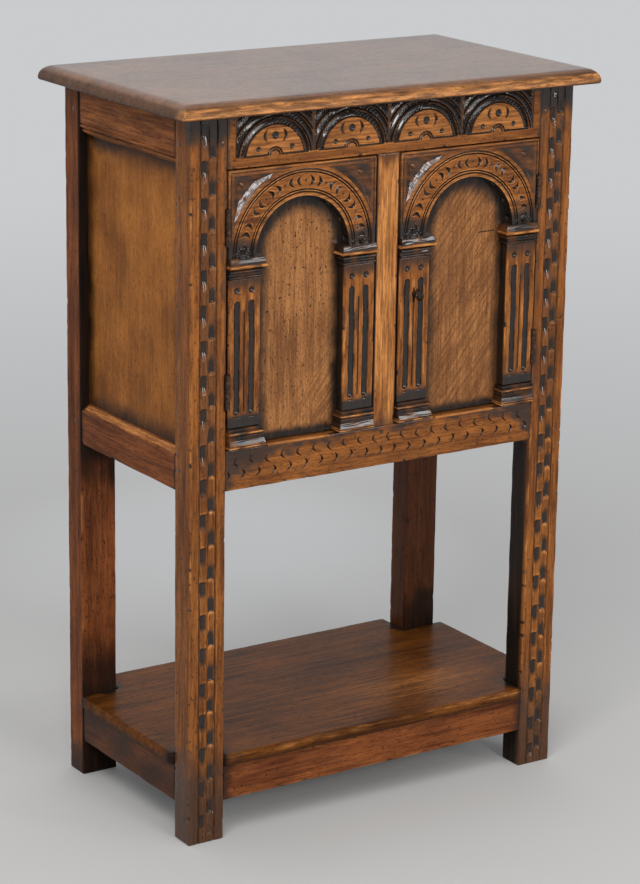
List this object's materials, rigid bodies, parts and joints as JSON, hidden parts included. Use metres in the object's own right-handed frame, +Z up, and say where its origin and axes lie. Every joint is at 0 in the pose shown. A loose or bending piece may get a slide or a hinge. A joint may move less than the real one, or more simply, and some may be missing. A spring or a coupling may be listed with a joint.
{
  "type": "side cabinet",
  "caption": "Joined oak cupboard on tall legs with a lunette frieze, arcaded doors that swing outwards, a rim lock with its key, and a low pot shelf between the legs.",
  "frame": {"origin": "on the floor, at the middle of the plan", "axes": "+Z up, +X to the right seen from the front, +Y towards the back, doors facing -Y"},
  "size_m": [0.61, 0.36, 0.9329],
  "materials": {
    "oak": "waxed oak, dark in the recesses and worn pale on the edges",
    "carved_oak": "carved oak, near black wax in the hollows and rubbed high points",
    "panel_oak": "satin oak board with ray fleck and worm speckles",
    "top_oak": "dull satin oak, scuffed, with a rubbed moulded edge",
    "shelf_oak": "dark polished oak with a worn ochre nose",
    "aged_iron": "aged dark iron, rubbed bright on the edges"
  },
  "bodies": {
    "carcass": {"back_apron": "oak", "back_bottom_rail": "oak", "back_left_leg": "oak", "back_panel": "panel_oak", "back_right_leg": "oak", "back_top_rail": "oak", "door_stop": "oak", "floor_board": "oak", "frieze_rail": "oak", "front_apron": "oak", "front_bottom_rail": "oak", "front_left_leg": "oak", "front_right_leg": "oak", "left_apron": "oak", "left_bottom_rail": "oak", "left_lower_hinge_leg_leaf": "aged_iron", "left_lower_hinge_pin": "aged_iron", "left_panel": "panel_oak", "left_top_rail": "oak", "left_upper_hinge_leg_leaf": "aged_iron", "left_upper_hinge_pin": "aged_iron", "muntin": "oak", "right_apron": "oak", "right_bottom_rail": "oak", "right_lower_hinge_leg_leaf": "aged_iron", "right_lower_hinge_pin": "aged_iron", "right_panel": "panel_oak", "right_top_rail": "oak", "right_upper_hinge_leg_leaf": "aged_iron", "right_upper_hinge_pin": "aged_iron", "shelf_board": "shelf_oak", "top_board": "top_oak"},
    "left_door": {"left_arch": "carved_oak", "left_door_panel": "panel_oak", "left_inner_base": "carved_oak", "left_inner_capital": "carved_oak", "left_inner_pilaster": "carved_oak", "left_lower_hinge_door_leaf": "aged_iron", "left_outer_base": "carved_oak", "left_outer_capital": "carved_oak", "left_outer_pilaster": "carved_oak", "left_upper_hinge_door_leaf": "aged_iron", "turn_button_screw": "aged_iron"},
    "right_door": {"lock_case": "aged_iron", "right_arch": "carved_oak", "right_door_panel": "panel_oak", "right_inner_base": "carved_oak", "right_inner_capital": "carved_oak", "right_inner_pilaster": "carved_oak", "right_lower_hinge_door_leaf": "aged_iron", "right_outer_base": "carved_oak", "right_outer_capital": "carved_oak", "right_outer_pilaster": "carved_oak", "right_upper_hinge_door_leaf": "aged_iron"},
    "key": {"key": "aged_iron"},
    "lock_bolt": {"lock_bolt": "aged_iron"},
    "turn_button": {"turn_button": "oak"}
  },
  "joints": [
    {"name": "left_door_swing", "type": "hinge", "parent": "carcass", "child": "left_door", "pos_m": [-0.229, -0.1555, 0.677], "axis": [0, 0, -1], "range_deg": [0, 100]},
    {"name": "right_door_swing", "type": "hinge", "parent": "carcass", "child": "right_door", "pos_m": [0.229, -0.1555, 0.677], "axis": [0, 0, 1], "range_deg": [0, 100]},
    {"name": "key_turn", "type": "hinge", "parent": "right_door", "child": "key", "pos_m": [0.041, -0.155, 0.67], "axis": [0, 1, 0], "range_deg": [0, 180]},
    {"name": "lock_bolt_slide", "type": "slide", "parent": "right_door", "child": "lock_bolt", "axis": [-1, 0, 0], "range_m": [0, 0.012]},
    {"name": "turn_button_turn", "type": "hinge", "parent": "left_door", "child": "turn_button", "pos_m": [-0.029, -0.129, 0.67], "axis": [0, 1, 0], "range_deg": [0, 90]}
  ],
  "couplings": [
    {"joint": "lock_bolt_slide", "follows": "key_turn", "m_per_rad": 0.0038}
  ]
}
